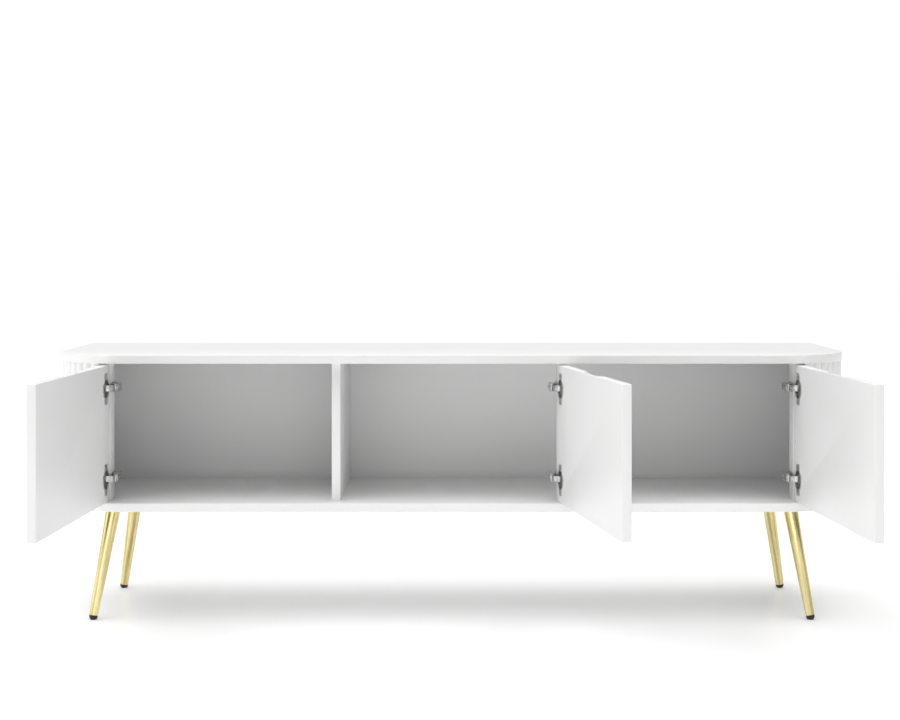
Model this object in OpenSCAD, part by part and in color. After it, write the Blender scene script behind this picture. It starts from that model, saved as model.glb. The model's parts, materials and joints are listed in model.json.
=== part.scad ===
// Low cabinet on splayed metal legs: three inset doors between two thin boards,
// ribbed rounded ends, and concealed hinges with a cup, an arm and a mounting plate.
// The doors are drawn open. X runs along the cabinet, +Y to the back, +Z up.

/* [Case] */
// Overall width of the boards
width = 1500; // [1460:10:1600]
// Overall depth of the boards
depth = 395; // [380:5:430]
// Overall height from the floor
height = 500; // [480:5:540]
// Height of the case, over both boards
case_h = 290; // [270:5:300]
// Thickness of the boards, doors and divider
board_t = 16; // [15:0.5:18]
// Radius of the rounded front corners in plan
corner_r = 140; // [136:1:144]
// Depth of the open recess behind the back panel
rear_recess = 61; // [40:1:70]
// Centre of the full-depth divider
divider_x = -216; // [-217:0.5:-215]
// Face of the middle post that carries the hinges
middle_post_x = 197; // [196:0.5:198]

/* [Ribbed ends] */
// Thickness of the ribbed skin, from its inner face to the bottom of a groove
skin_t = 12.2; // [11:0.2:12.6]
// How far the ribs stand out of the grooves
rib_depth = 4; // [2:0.5:5]
// Ribs around the rounded corner
corner_ribs = 9; // [6:1:12]
// Ribs along the straight side
side_ribs = 13; // [9:1:16]

/* [Doors] */
// Width of each outer door
outer_door_w = 432; // [420:1:432]
// Width of the middle door
middle_door_w = 430; // [420:1:431]
// Opening angle of the left door
open_left = 93.3; // [85:0.1:95]
// Opening angle of the middle door
open_middle = 100; // [85:0.1:100]
// Opening angle of the right door
open_right = 94.7; // [85:0.1:95]
// Length of the finger scoop in the top edge
scoop_len = 100; // [70:5:140]
// Depth of the finger scoop below the top edge
scoop_drop = 20; // [14:1:30]

/* [Hinges] */
// Distance from each end of a door to the middle of its hinge
hinge_inset = 42.5; // [40:0.5:60]
// Diameter of the hinge cup
cup_d = 35; // [35:1:35]
// Distance between the two screws of a cup
cup_screw_gap = 48; // [45:1:52]
// Distance between the two screws of a mounting plate
plate_screw_gap = 30; // [29:1:31]

/* [Legs] */
// Radius of a leg at its foot
leg_r_foot = 8; // [7.5:0.5:9]
// Radius of a leg at its top
leg_r_top = 13.75; // [12:0.25:16]
// Distance of a foot from the end of the boards
foot_inset_x = 75; // [70:1:90]
// Distance of a foot from the front or rear edge
foot_inset_y = 53; // [45:1:60]
// How far a leg leans inwards along the cabinet
lean_x = 34; // [20:1:40]
// How far a leg leans inwards across the cabinet
lean_y = 30; // [20:1:36]

/* [Hidden] */
$fn = 64;

// colours
lacquer = [0.93, 0.93, 0.92];
gold = [0.83, 0.7, 0.4];
nickel = [0.7, 0.7, 0.7];
black = [0.08, 0.08, 0.08];
bare_wood = [0.75, 0.6, 0.42];

// case heights and half sizes
half_w = width / 2;
case_z = height - case_h;
inside_z = case_z + board_t;
inside_h = case_h - 2 * board_t;
leg_h = case_z;

// rounded corner and ribbed skin
corner_x = half_w - corner_r;          // centre of the corner arc, from the middle
board_lip = 1.2;                       // the boards stand out past the ribs by this much
skin_r_in = corner_r - board_lip - rib_depth - skin_t;
skin_r_groove = skin_r_in + skin_t;
end_to_door = 97;                      // from the end of the boards to an outer door's edge
skin_gap = 3;                          // between an outer door's edge and the ribbed skin
skin_start = corner_r - end_to_door + skin_gap;   // from the centre of the corner arc
rear_lip = 2;                          // sides stop this far short of the boards' rear edge
rib_steps = 8;                         // flats across one rib

// doors
door_front_y = 8;
door_in_y = door_front_y + board_t;
door_low_gap = 1.5;
door_top_gap = 3.5;
door_z = inside_z + door_low_gap;
door_h = inside_h - door_low_gap - door_top_gap;
outer_edge_x = half_w - end_to_door;
edge_overlay = 16;                     // a door covers its post by this much
middle_edge_x = middle_post_x + edge_overlay;
hinge_zs = [door_z + hinge_inset, door_z + door_h - hinge_inset];
scoop_depth = 12;
scoop_r = 10;

// posts and panels
post_front_y = door_in_y + 2.2;
post_depth = 40;
post_t = 19;
middle_post_t = 28;
side_in_x = corner_x + skin_r_in - board_t;
back_t = 4;
back_y = depth - rear_recess - back_t;
groove_d = 6;
groove_slack = 0.1;

// hinge outline, with U = 0 at the door's hinge edge and the door on the -U side
pole = [-3.5, door_front_y + 4];       // the line that a door turns about
arm_pin = [-27, 19.8];                 // the line that the links turn about
link_len = 19.8;
link_closed = -9.9;                    // direction of the links with the door closed
link_ratio = -0.355;                   // turn of the links for each turn of the door
link_bow = 3.4;
cup_u = -20.5;
cup_r = cup_d / 2;
cup_wall = 1;
cup_depth = 11.5;
flange_t = 1.2;
flange_r = 19.5;
ear_r = 5;
ear_half = 9;
flange_half = 29;
cup_screw_r = 1.75;
plate_t = 2.5;
plate_y = 46.5;                        // middle of a mounting plate
plate_len = 37;
saddle_h = 8;
saddle_len = 21;
arm_out = 15;                          // height of the arm over the post's face
arm_half = 7;
arm_t = 1.2;
arm_rear_y = 62;
plate_screw_r = 1.75;
arm_screw_r = 2;
arm_screw_ys = [40, 53];
arm_pin_r = 1.2;
link_pin_r = 0.8;
link_half = 5.4;
inner_half = 3.2;
link_side_gap = 0.2;
arm_nose_y = 24;
arm_nose_w = 9;
run_gap = 0.05;                        // radial gap of a turning fit
fix_gap = 0.02;                        // radial gap of a fixed fit

// dowels and screws
dowel_r = 4;
dowel_in_board = 11;
dowel_in_panel = 15;
screw_head_r = 3.5;
screw_r = 2.5;
screw_head_h = 3;
screw_len = 48;
side_x = side_in_x + board_t / 2;
skin_mid_r = skin_r_in + skin_t / 2;
skin_dowel_a = 55;
post_dowel_y = post_front_y + post_depth / 2;
right_dowels = [[side_x, 180], [side_x, 350],
    [corner_x + skin_mid_r, 260],
    [corner_x + skin_mid_r * sin(skin_dowel_a), corner_r - skin_mid_r * cos(skin_dowel_a)],
    [outer_edge_x - edge_overlay + post_t / 2, post_dowel_y]];
single_dowels = [[divider_x, 60], [divider_x, 300],
    [middle_post_x + middle_post_t / 2, post_dowel_y]];
case_screw_spots = [[side_x, 215], [side_x, 315], [-side_x, 215], [-side_x, 315],
    [divider_x, 120], [divider_x, 240]];

// legs
leg_len = norm([lean_x, lean_y, leg_h]);
leg_wall = 1.2;
leg_cap_t = 8;                         // length of the black cap along the leg
cap_r = 8.1;
cap_dome_t = 6;
plate_side = 60;
leg_plate_t = 3;
leg_screw_off = 22;
leg_screw_r = 2.2;
leg_head_r = 4;
leg_head_h = 2.2;
leg_screw_in = 9;
stud_r = 4;
stud_len = 34;
leg_plug = 12;

// the origin is under the middle of the box that holds the open doors
function tip_y(w, open) = pole[1] - (w + pole[0]) * sin(open) + (door_in_y - pole[1]) * cos(open);
front_y = min(tip_y(outer_door_w, open_left), tip_y(outer_door_w, open_right),
    tip_y(middle_door_w, open_middle));
origin_y = -(depth + front_y) / 2;

module placed() {
    translate([0, origin_y, 0]) children();
}

module both_x() {
    children();
    mirror([1, 0, 0]) children();
}

// ---------------------------------------------------------------- boards

module board_outline() {
    difference() {
        translate([-half_w, 0]) square([width, depth]);
        both_x() difference() {
            translate([corner_x, -1]) square([corner_r + 1, corner_r + 1]);
            translate([corner_x, corner_r]) circle(corner_r, $fn = 128);
        }
    }
}

module dowel_holes(z0, h) {
    r = dowel_r + fix_gap;
    for (p = right_dowels) both_x() translate([p[0], p[1], z0]) cylinder(h, r, r);
    for (p = single_dowels) translate([p[0], p[1], z0]) cylinder(h, r, r);
}

module back_groove(z0) {
    w = 2 * (side_in_x + groove_d);
    translate([-w / 2, back_y - groove_slack, z0])
        cube([w, back_t + 2 * groove_slack, groove_d + groove_slack + 1]);
}

module top_panel() {
    z = inside_z + inside_h;
    color(lacquer) placed() difference() {
        translate([0, 0, z]) linear_extrude(board_t) board_outline();
        dowel_holes(z - 1, dowel_in_board + 1.5);
        back_groove(z - 1);
    }
}

module bottom_panel() {
    color(lacquer) placed() difference() {
        translate([0, 0, case_z]) linear_extrude(board_t) board_outline();
        dowel_holes(inside_z - dowel_in_board - 0.5, dowel_in_board + 1.5);
        back_groove(inside_z - groove_d - groove_slack);
        case_screw_holes();
        for (p = leg_tops()) for (dx = [-1, 1], dy = [-1, 1])
            translate([p[0] + dx * leg_screw_off, p[1] + dy * leg_screw_off, case_z - 1])
                cylinder(leg_screw_in + 1.5, leg_screw_r + fix_gap, leg_screw_r + fix_gap);
    }
}

module back_panel() {
    w = 2 * (side_in_x + groove_d - groove_slack);
    h = inside_h + 2 * (groove_d - groove_slack);
    color(lacquer) placed()
        translate([-w / 2, back_y, inside_z - groove_d + groove_slack]) cube([w, back_t, h]);
}

// ---------------------------------------------------------------- uprights

module side_panel() {
    difference() {
        translate([side_in_x, corner_r, inside_z])
            cube([board_t, depth - rear_lip - corner_r, inside_h]);
        translate([side_in_x - 1, back_y - groove_slack, inside_z - 1])
            cube([groove_d + 1, back_t + 2 * groove_slack, inside_h + 2]);
        panel_dowel_ends();
        case_screw_holes();
    }
}

module side_panel_left() {
    color(lacquer) placed() mirror([1, 0, 0]) side_panel();
}

module side_panel_right() {
    color(lacquer) placed() side_panel();
}

function rib(i) = rib_depth * abs(sin(180 * i / rib_steps));

// plan of the ribbed skin: ribs round the corner and along the side, then the inner face
module skin_outline() {
    a0 = asin(skin_start / skin_r_groove);
    a1 = asin(skin_start / skin_r_in);
    rear = depth - rear_lip;
    nc = corner_ribs * rib_steps;
    ns = side_ribs * rib_steps;
    outer_arc = [for (i = [0:nc]) let (a = a0 + (90 - a0) * i / nc, r = skin_r_groove + rib(i))
        [corner_x + r * sin(a), corner_r - r * cos(a)]];
    outer_side = [for (i = [1:ns])
        [corner_x + skin_r_groove + rib(i), corner_r + (rear - corner_r) * i / ns]];
    inner = [for (i = [0:24]) let (a = 90 + (a1 - 90) * i / 24)
        [corner_x + skin_r_in * sin(a), corner_r - skin_r_in * cos(a)]];
    polygon(concat(outer_arc, outer_side, [[corner_x + skin_r_in, rear]], inner));
}

module ribbed_skin() {
    difference() {
        translate([0, 0, inside_z]) linear_extrude(inside_h) skin_outline();
        panel_dowel_ends();
    }
}

module ribbed_skin_left() {
    color(lacquer) placed() mirror([1, 0, 0]) ribbed_skin();
}

module ribbed_skin_right() {
    color(lacquer) placed() ribbed_skin();
}

module panel_dowel_ends() {
    dowel_holes(inside_z - 1, dowel_in_panel + 1.5);
    dowel_holes(inside_z + inside_h - dowel_in_panel - 0.5, dowel_in_panel + 1.5);
}

module divider() {
    color(lacquer) placed() difference() {
        translate([divider_x - board_t / 2, post_front_y, inside_z])
            cube([board_t, back_y - groove_slack - post_front_y, inside_h]);
        panel_dowel_ends();
        case_screw_holes();
    }
}

module post(x, t) {
    difference() {
        translate([x, post_front_y, inside_z]) cube([t, post_depth, inside_h]);
        panel_dowel_ends();
        for (z = hinge_zs, s = [-1, 1])
            translate([x - 1, plate_y + s * plate_screw_gap / 2, z])
                rotate([0, 90, 0]) cylinder(14, plate_screw_r + fix_gap, plate_screw_r + fix_gap);
    }
}

module corner_post_left() {
    color(lacquer) placed() mirror([1, 0, 0]) post(outer_edge_x - edge_overlay, post_t);
}

module corner_post_right() {
    color(lacquer) placed() post(outer_edge_x - edge_overlay, post_t);
}

module middle_post() {
    color(lacquer) placed() post(middle_post_x, middle_post_t);
}

// ---------------------------------------------------------------- dowels and screws

module dowel_pair(p) {
    h = dowel_in_board + dowel_in_panel;
    translate([p[0], p[1], inside_z - dowel_in_board]) cylinder(h, dowel_r, dowel_r);
    translate([p[0], p[1], inside_z + inside_h - dowel_in_panel]) cylinder(h, dowel_r, dowel_r);
}

module panel_dowels() {
    color(bare_wood) placed() {
        for (p = right_dowels) both_x() dowel_pair(p);
        for (p = single_dowels) dowel_pair(p);
    }
}

module case_screw_holes() {
    for (p = case_screw_spots) translate([p[0], p[1], case_z]) {
        translate([0, 0, -1]) cylinder(screw_head_h + 1, screw_head_r + fix_gap,
            screw_head_r + fix_gap);
        cylinder(screw_len + 0.5, screw_r + fix_gap, screw_r + fix_gap);
    }
}

module case_screws() {
    color(nickel) placed() for (p = case_screw_spots) translate([p[0], p[1], case_z]) {
        difference() {
            cylinder(screw_head_h, screw_head_r, screw_head_r);
            translate([0, 0, -1]) cylinder(3, 2, 2, $fn = 6);
        }
        translate([0, 0, screw_head_h - 0.01])
            cylinder(screw_len - screw_head_h, screw_r, screw_r);
    }
}

// ---------------------------------------------------------------- legs

function leg_tops() = [for (sx = [-1, 1], sy = [0, 1])
    [sx * (half_w - foot_inset_x - lean_x),
        sy == 0 ? foot_inset_y + lean_y : depth - foot_inset_y - lean_y]];

// draws its children along a leg, from the foot at [0, 0, 0] upwards
module along_leg(left, rear) {
    side = left == 1 ? -1 : 1;
    face = rear == 1 ? -1 : 1;
    foot_y = rear == 1 ? depth - foot_inset_y : foot_inset_y;
    placed() translate([side * (half_w - foot_inset_x), foot_y, 0])
        rotate([0, acos(leg_h / leg_len), atan2(face * lean_y, -side * lean_x)])
            rotate([0, 0, side * face * 90]) children();
}

function leg_r(t) = leg_r_foot + (leg_r_top - leg_r_foot) * t / leg_len;

module below(z) {
    difference() {
        children();
        translate([-width / 2, 0, z]) cube([width, depth + 100, 60]);
    }
}

module leg(left, rear) {
    top = leg_len + 12;
    bore_top = leg_len - leg_plug;
    color(gold) below(case_z - leg_plate_t) along_leg(left, rear) difference() {
        translate([0, 0, leg_cap_t]) cylinder(top - leg_cap_t, leg_r(leg_cap_t), leg_r(top));
        translate([0, 0, leg_cap_t - 1]) cylinder(bore_top - leg_cap_t + 1,
            leg_r(leg_cap_t - 1) - leg_wall, leg_r(bore_top) - leg_wall);
        cylinder(top + 1, stud_r + fix_gap, stud_r + fix_gap);
    }
}

module leg_front_left() { leg(1, 0); }

module leg_front_right() { leg(0, 0); }

module leg_rear_left() { leg(1, 1); }

module leg_rear_right() { leg(0, 1); }

module foot_cap(left, rear) {
    plug_r = leg_r(leg_cap_t) - leg_wall - 0.1;
    color(black) difference() {
        along_leg(left, rear) {
            translate([0, 0, cap_dome_t]) sphere(cap_r);
            translate([0, 0, cap_dome_t]) cylinder(leg_cap_t - cap_dome_t, cap_r, cap_r);
            translate([0, 0, leg_cap_t - 1]) cylinder(10, plug_r, plug_r);
        }
        translate([-width, -width, -20]) cube([2 * width, 2 * width, 20]);
        along_leg(left, rear) difference() {
            translate([0, 0, leg_cap_t]) cylinder(8, cap_r + 1, cap_r + 1);
            translate([0, 0, leg_cap_t - 1]) cylinder(12, plug_r, plug_r);
        }
    }
}

module foot_cap_front_left() { foot_cap(1, 0); }

module foot_cap_front_right() { foot_cap(0, 0); }

module foot_cap_rear_left() { foot_cap(1, 1); }

module foot_cap_rear_right() { foot_cap(0, 1); }

module leg_plates() {
    color(nickel) placed() for (p = leg_tops()) translate([p[0], p[1], case_z - leg_plate_t])
        difference() {
            translate([-plate_side / 2, -plate_side / 2, 0])
                cube([plate_side, plate_side, leg_plate_t]);
            for (dx = [-1, 1], dy = [-1, 1])
                translate([dx * leg_screw_off, dy * leg_screw_off, -1])
                    cylinder(leg_plate_t + 2, leg_screw_r + fix_gap, leg_screw_r + fix_gap);
        }
}

module leg_studs() {
    color(nickel) below(case_z - leg_plate_t) for (left = [0, 1], rear = [0, 1])
        along_leg(left, rear) translate([0, 0, leg_len - stud_len])
            cylinder(stud_len + 10, stud_r, stud_r);
}

module leg_screws() {
    z = case_z - leg_plate_t;
    color(nickel) placed() for (p = leg_tops()) for (dx = [-1, 1], dy = [-1, 1])
        translate([p[0] + dx * leg_screw_off, p[1] + dy * leg_screw_off, z]) {
            difference() {
                translate([0, 0, -leg_head_h]) cylinder(leg_head_h, leg_head_r, leg_head_r);
                for (a = [0, 90]) rotate([0, 0, a])
                    translate([-2.2, -0.4, -leg_head_h - 1]) cube([4.4, 0.8, 2]);
            }
            translate([0, 0, -0.01]) cylinder(leg_screw_in + leg_plate_t, leg_screw_r, leg_screw_r);
        }
}

// ---------------------------------------------------------------- doors and hinges

// puts a hinge's own coordinates at a door's edge; left mirrors them
module at_edge(edge_x, left = 0) {
    placed() mirror([left, 0, 0]) translate([edge_x, 0, 0]) children();
}

module turned(spot, a) {
    translate([spot[0], spot[1], 0]) rotate([0, 0, a]) translate([-spot[0], -spot[1], 0]) children();
}

// the open position of what is fixed to a door, and of its links
module on_door(open) {
    turned(pole, open) children();
}

module on_links(open) {
    turned(arm_pin, link_ratio * open) children();
}

// stands a cylinder or a flat shape up on the plane at y, facing +Y
module facing_y(u, y, z) {
    translate([u, y, z]) rotate([-90, 0, 0]) children();
}

// stands it up on the plane at u, facing +U
module facing_u(u, y, z) {
    translate([u, y, z]) rotate([0, 90, 0]) children();
}

module scoop(w) {
    z = door_z + door_h;
    translate([-w / 2, door_front_y + scoop_depth, z]) rotate([90, 0, 0])
        linear_extrude(scoop_depth + 1) {
            translate([-scoop_len / 2, -scoop_drop + scoop_r])
                square([scoop_len, scoop_drop - scoop_r + 1]);
            translate([-scoop_len / 2 + scoop_r, -scoop_drop])
                square([scoop_len - 2 * scoop_r, scoop_drop]);
            for (s = [-1, 1]) translate([s * (scoop_len / 2 - scoop_r), -scoop_drop + scoop_r])
                circle(scoop_r);
        }
}

module door(w) {
    difference() {
        translate([-w, door_front_y, door_z]) cube([w, board_t, door_h]);
        scoop(w);
        for (z = hinge_zs) {
            facing_y(cup_u, door_in_y - cup_depth - 0.1, z)
                cylinder(cup_depth + 1, cup_r + 0.05, cup_r + 0.05);
            for (s = [-1, 1]) facing_y(cup_u, door_in_y - 10.5, z + s * cup_screw_gap / 2)
                cylinder(12, cup_screw_r + fix_gap, cup_screw_r + fix_gap);
        }
    }
}

module hinge_cup() {
    for (z = hinge_zs) {
        facing_y(cup_u, door_in_y - cup_depth, z) difference() {
            cylinder(cup_depth + 0.5, cup_r, cup_r);
            translate([0, 0, cup_wall]) cylinder(cup_depth + 1, cup_r - cup_wall, cup_r - cup_wall);
        }
        facing_y(cup_u, door_in_y, z) linear_extrude(flange_t) difference() {
            union() {
                circle(flange_r);
                translate([-ear_half, ear_r - flange_half])
                    square([2 * ear_half, 2 * (flange_half - ear_r)]);
                translate([ear_r - ear_half, -flange_half])
                    square([2 * (ear_half - ear_r), 2 * flange_half]);
                for (s = [-1, 1], t = [-1, 1])
                    translate([t * (ear_half - ear_r), s * (flange_half - ear_r)]) circle(ear_r);
            }
            circle(cup_r - cup_wall);
            for (s = [-1, 1]) translate([0, s * cup_screw_gap / 2])
                circle(cup_screw_r + fix_gap);
        }
    }
}

module cup_screw_set() {
    for (z = hinge_zs, s = [-1, 1]) facing_y(cup_u, 0, z + s * cup_screw_gap / 2) {
        translate([0, 0, door_in_y - 10]) cylinder(10 + flange_t, cup_screw_r, cup_screw_r);
        translate([0, 0, door_in_y + flange_t]) difference() {
            cylinder(0.8, 3.4, 3.4);
            for (a = [0, 90]) rotate([0, 0, a]) translate([-2, -0.35, 0.3]) cube([4, 0.7, 1]);
        }
    }
}

module hinge_plate() {
    for (z = hinge_zs) facing_u(-edge_overlay - plate_t, 0, z) difference() {
        union() {
            translate([-arm_half - 2, plate_y - plate_len / 2, 0])
                cube([2 * arm_half + 4, plate_len, plate_t]);
            translate([-arm_half + arm_t, plate_y - saddle_len / 2, plate_t - saddle_h])
                cube([2 * (arm_half - arm_t), saddle_len, saddle_h]);
        }
        for (s = [-1, 1]) translate([0, plate_y + s * plate_screw_gap / 2, -1])
            cylinder(plate_t + 2, plate_screw_r + fix_gap, plate_screw_r + fix_gap);
        for (y = arm_screw_ys) translate([0, y, -saddle_h])
            cylinder(saddle_h, arm_screw_r + fix_gap, arm_screw_r + fix_gap);
    }
}

module plate_screw_set() {
    for (z = hinge_zs, s = [-1, 1])
        facing_u(-edge_overlay - plate_t, plate_y + s * plate_screw_gap / 2, z) {
            cylinder(plate_t + 12, plate_screw_r, plate_screw_r);
            translate([0, 0, -2]) difference() {
                cylinder(2, 3.4, 3.4);
                for (a = [0, 90]) rotate([0, 0, a]) translate([-2, -0.4, -1]) cube([4, 0.8, 2]);
            }
        }
}

module arm_side() {
    u = -edge_overlay - arm_out;
    difference() {
        union() {
            polygon([[u, arm_rear_y], [u, arm_nose_y], [arm_pin[0] - 3, arm_pin[1]],
                [arm_pin[0] + 3, arm_pin[1]], [-19, 30], [-19, arm_rear_y]]);
            translate(arm_pin) circle(3);
        }
        translate(arm_pin) circle(arm_pin_r + fix_gap);
    }
}

module hinge_arm() {
    u = -edge_overlay - arm_out;
    for (z = hinge_zs) translate([0, 0, z]) {
        for (s = [0, 1]) mirror([0, 0, s]) translate([0, 0, arm_half - arm_t])
            linear_extrude(arm_t) arm_side();
        difference() {
            union() {
                translate([u, arm_nose_y, -arm_half])
                    cube([arm_t, arm_rear_y - arm_nose_y, 2 * arm_half]);
                translate([u, arm_nose_y, -arm_half]) cube([arm_nose_w, arm_t, 2 * arm_half]);
            }
            for (y = arm_screw_ys) facing_u(u - 1, y, 0)
                cylinder(arm_t + 2, arm_screw_r + fix_gap, arm_screw_r + fix_gap);
        }
    }
}

module arm_screw_set() {
    u = -edge_overlay - arm_out;
    for (z = hinge_zs, y = arm_screw_ys) facing_u(u, y, z) {
        cylinder(arm_out - saddle_h + 3, arm_screw_r, arm_screw_r);
        translate([0, 0, -1.4]) difference() {
            cylinder(1.4, 3.2, 3.2);
            for (a = [0, 90]) rotate([0, 0, a]) translate([-1.8, -0.35, -1]) cube([3.6, 0.7, 1.8]);
        }
    }
}

module arm_pin_set() {
    for (z = hinge_zs) translate([arm_pin[0], arm_pin[1], z - arm_half])
        cylinder(2 * arm_half, arm_pin_r, arm_pin_r);
}

// one link in plan, drawn along +U from the arm pin, with the door closed
module link_outline(arm_end_r, cup_end_r, half_t) {
    bend = [for (i = [0:10]) let (q = i / 10) [link_len * q, -4 * link_bow * q * (1 - q)]];
    translate(arm_pin) rotate(link_closed) difference() {
        union() {
            circle(arm_end_r);
            translate([link_len, 0]) circle(cup_end_r);
            polygon(concat([for (p = bend) p - [0, half_t]],
                [for (i = [10:-1:0]) bend[i] + [0, half_t]]));
        }
        circle(arm_pin_r + run_gap);
        translate([link_len, 0]) circle(link_pin_r + fix_gap);
    }
}

module outer_link_set() {
    for (z = hinge_zs, s = [0, 1]) translate([0, 0, z]) mirror([0, 0, s])
        translate([0, 0, inner_half + link_side_gap])
            linear_extrude(link_half - inner_half - link_side_gap) link_outline(2.8, 1.5, 0.8);
}

module inner_link_set() {
    for (z = hinge_zs) translate([0, 0, z - inner_half]) linear_extrude(2 * inner_half)
        link_outline(2.5, 1.4, 0.8);
}

module link_pin_set() {
    for (z = hinge_zs) translate([0, 0, z - link_half]) translate(arm_pin)
        rotate(link_closed) translate([link_len, 0]) cylinder(2 * link_half, link_pin_r, link_pin_r);
}

module door_left() { color(lacquer) at_edge(outer_edge_x, 1) on_door(open_left) door(outer_door_w); }

module door_middle() { color(lacquer) at_edge(middle_edge_x) on_door(open_middle) door(middle_door_w); }

module door_right() { color(lacquer) at_edge(outer_edge_x) on_door(open_right) door(outer_door_w); }

module hinge_cups_left() { color(nickel) at_edge(outer_edge_x, 1) on_door(open_left) hinge_cup(); }

module hinge_cups_middle() { color(nickel) at_edge(middle_edge_x) on_door(open_middle) hinge_cup(); }

module hinge_cups_right() { color(nickel) at_edge(outer_edge_x) on_door(open_right) hinge_cup(); }

module cup_screws_left() {
    color(nickel) at_edge(outer_edge_x, 1) on_door(open_left) cup_screw_set();
}

module cup_screws_middle() {
    color(nickel) at_edge(middle_edge_x) on_door(open_middle) cup_screw_set();
}

module cup_screws_right() {
    color(nickel) at_edge(outer_edge_x) on_door(open_right) cup_screw_set();
}

module hinge_plates_left() { color(nickel) at_edge(outer_edge_x, 1) hinge_plate(); }

module hinge_plates_middle() { color(nickel) at_edge(middle_edge_x) hinge_plate(); }

module hinge_plates_right() { color(nickel) at_edge(outer_edge_x) hinge_plate(); }

module plate_screws_left() { color(nickel) at_edge(outer_edge_x, 1) plate_screw_set(); }

module plate_screws_middle() { color(nickel) at_edge(middle_edge_x) plate_screw_set(); }

module plate_screws_right() { color(nickel) at_edge(outer_edge_x) plate_screw_set(); }

module hinge_arms_left() { color(nickel) at_edge(outer_edge_x, 1) hinge_arm(); }

module hinge_arms_middle() { color(nickel) at_edge(middle_edge_x) hinge_arm(); }

module hinge_arms_right() { color(nickel) at_edge(outer_edge_x) hinge_arm(); }

module arm_screws_left() { color(nickel) at_edge(outer_edge_x, 1) arm_screw_set(); }

module arm_screws_middle() { color(nickel) at_edge(middle_edge_x) arm_screw_set(); }

module arm_screws_right() { color(nickel) at_edge(outer_edge_x) arm_screw_set(); }

module arm_pins_left() { color(nickel) at_edge(outer_edge_x, 1) arm_pin_set(); }

module arm_pins_middle() { color(nickel) at_edge(middle_edge_x) arm_pin_set(); }

module arm_pins_right() { color(nickel) at_edge(outer_edge_x) arm_pin_set(); }

module outer_links_left() {
    color(nickel) at_edge(outer_edge_x, 1) on_links(open_left) outer_link_set();
}

module outer_links_middle() {
    color(nickel) at_edge(middle_edge_x) on_links(open_middle) outer_link_set();
}

module outer_links_right() {
    color(nickel) at_edge(outer_edge_x) on_links(open_right) outer_link_set();
}

module inner_links_left() {
    color(nickel) at_edge(outer_edge_x, 1) on_links(open_left) inner_link_set();
}

module inner_links_middle() {
    color(nickel) at_edge(middle_edge_x) on_links(open_middle) inner_link_set();
}

module inner_links_right() {
    color(nickel) at_edge(outer_edge_x) on_links(open_right) inner_link_set();
}

module link_pins_left() {
    color(nickel) at_edge(outer_edge_x, 1) on_links(open_left) link_pin_set();
}

module link_pins_middle() {
    color(nickel) at_edge(middle_edge_x) on_links(open_middle) link_pin_set();
}

module link_pins_right() {
    color(nickel) at_edge(outer_edge_x) on_links(open_right) link_pin_set();
}

top_panel();
bottom_panel();
back_panel();
side_panel_left();
side_panel_right();
ribbed_skin_left();
ribbed_skin_right();
divider();
corner_post_left();
corner_post_right();
middle_post();
panel_dowels();
case_screws();
leg_front_left();
leg_front_right();
leg_rear_left();
leg_rear_right();
foot_cap_front_left();
foot_cap_front_right();
foot_cap_rear_left();
foot_cap_rear_right();
leg_plates();
leg_studs();
leg_screws();
door_left();
door_middle();
door_right();
hinge_cups_left();
hinge_cups_middle();
hinge_cups_right();
cup_screws_left();
cup_screws_middle();
cup_screws_right();
hinge_plates_left();
hinge_plates_middle();
hinge_plates_right();
plate_screws_left();
plate_screws_middle();
plate_screws_right();
hinge_arms_left();
hinge_arms_middle();
hinge_arms_right();
arm_screws_left();
arm_screws_middle();
arm_screws_right();
arm_pins_left();
arm_pins_middle();
arm_pins_right();
outer_links_left();
outer_links_middle();
outer_links_right();
inner_links_left();
inner_links_middle();
inner_links_right();
link_pins_left();
link_pins_middle();
link_pins_right();
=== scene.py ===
import json
import math

import bmesh
import bpy
from mathutils import Matrix, Vector


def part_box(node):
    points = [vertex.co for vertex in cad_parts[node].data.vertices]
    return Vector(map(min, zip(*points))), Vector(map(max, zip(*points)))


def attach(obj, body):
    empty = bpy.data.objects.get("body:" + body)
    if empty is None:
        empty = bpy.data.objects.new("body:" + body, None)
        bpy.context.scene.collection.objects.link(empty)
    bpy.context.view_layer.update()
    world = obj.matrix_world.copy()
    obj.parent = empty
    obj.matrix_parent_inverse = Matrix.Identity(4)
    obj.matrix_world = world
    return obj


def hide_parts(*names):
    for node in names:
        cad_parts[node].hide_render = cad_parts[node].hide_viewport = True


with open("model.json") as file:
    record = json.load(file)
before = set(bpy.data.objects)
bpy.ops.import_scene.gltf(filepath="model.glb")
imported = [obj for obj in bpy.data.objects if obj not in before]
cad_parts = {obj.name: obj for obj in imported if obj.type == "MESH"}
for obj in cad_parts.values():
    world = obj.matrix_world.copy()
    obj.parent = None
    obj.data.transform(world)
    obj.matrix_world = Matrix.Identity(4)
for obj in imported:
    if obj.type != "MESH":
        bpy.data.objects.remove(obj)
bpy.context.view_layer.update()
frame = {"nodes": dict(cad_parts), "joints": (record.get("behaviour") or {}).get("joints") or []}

MM = 0.001
JOINTS = {j["name"]: j for j in frame["joints"]}
SIDES = ("left", "middle", "right")
ALONG_X, ALONG_Z = 0, 2

top_lo, top_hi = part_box("top_panel")
low_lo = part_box("bottom_panel")[0]
HALF_W = top_hi.x
FRONT_Y = top_lo.y
REAR_Y = top_hi.y

# ---------------------------------------------------------------- sizes of the real pieces

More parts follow.
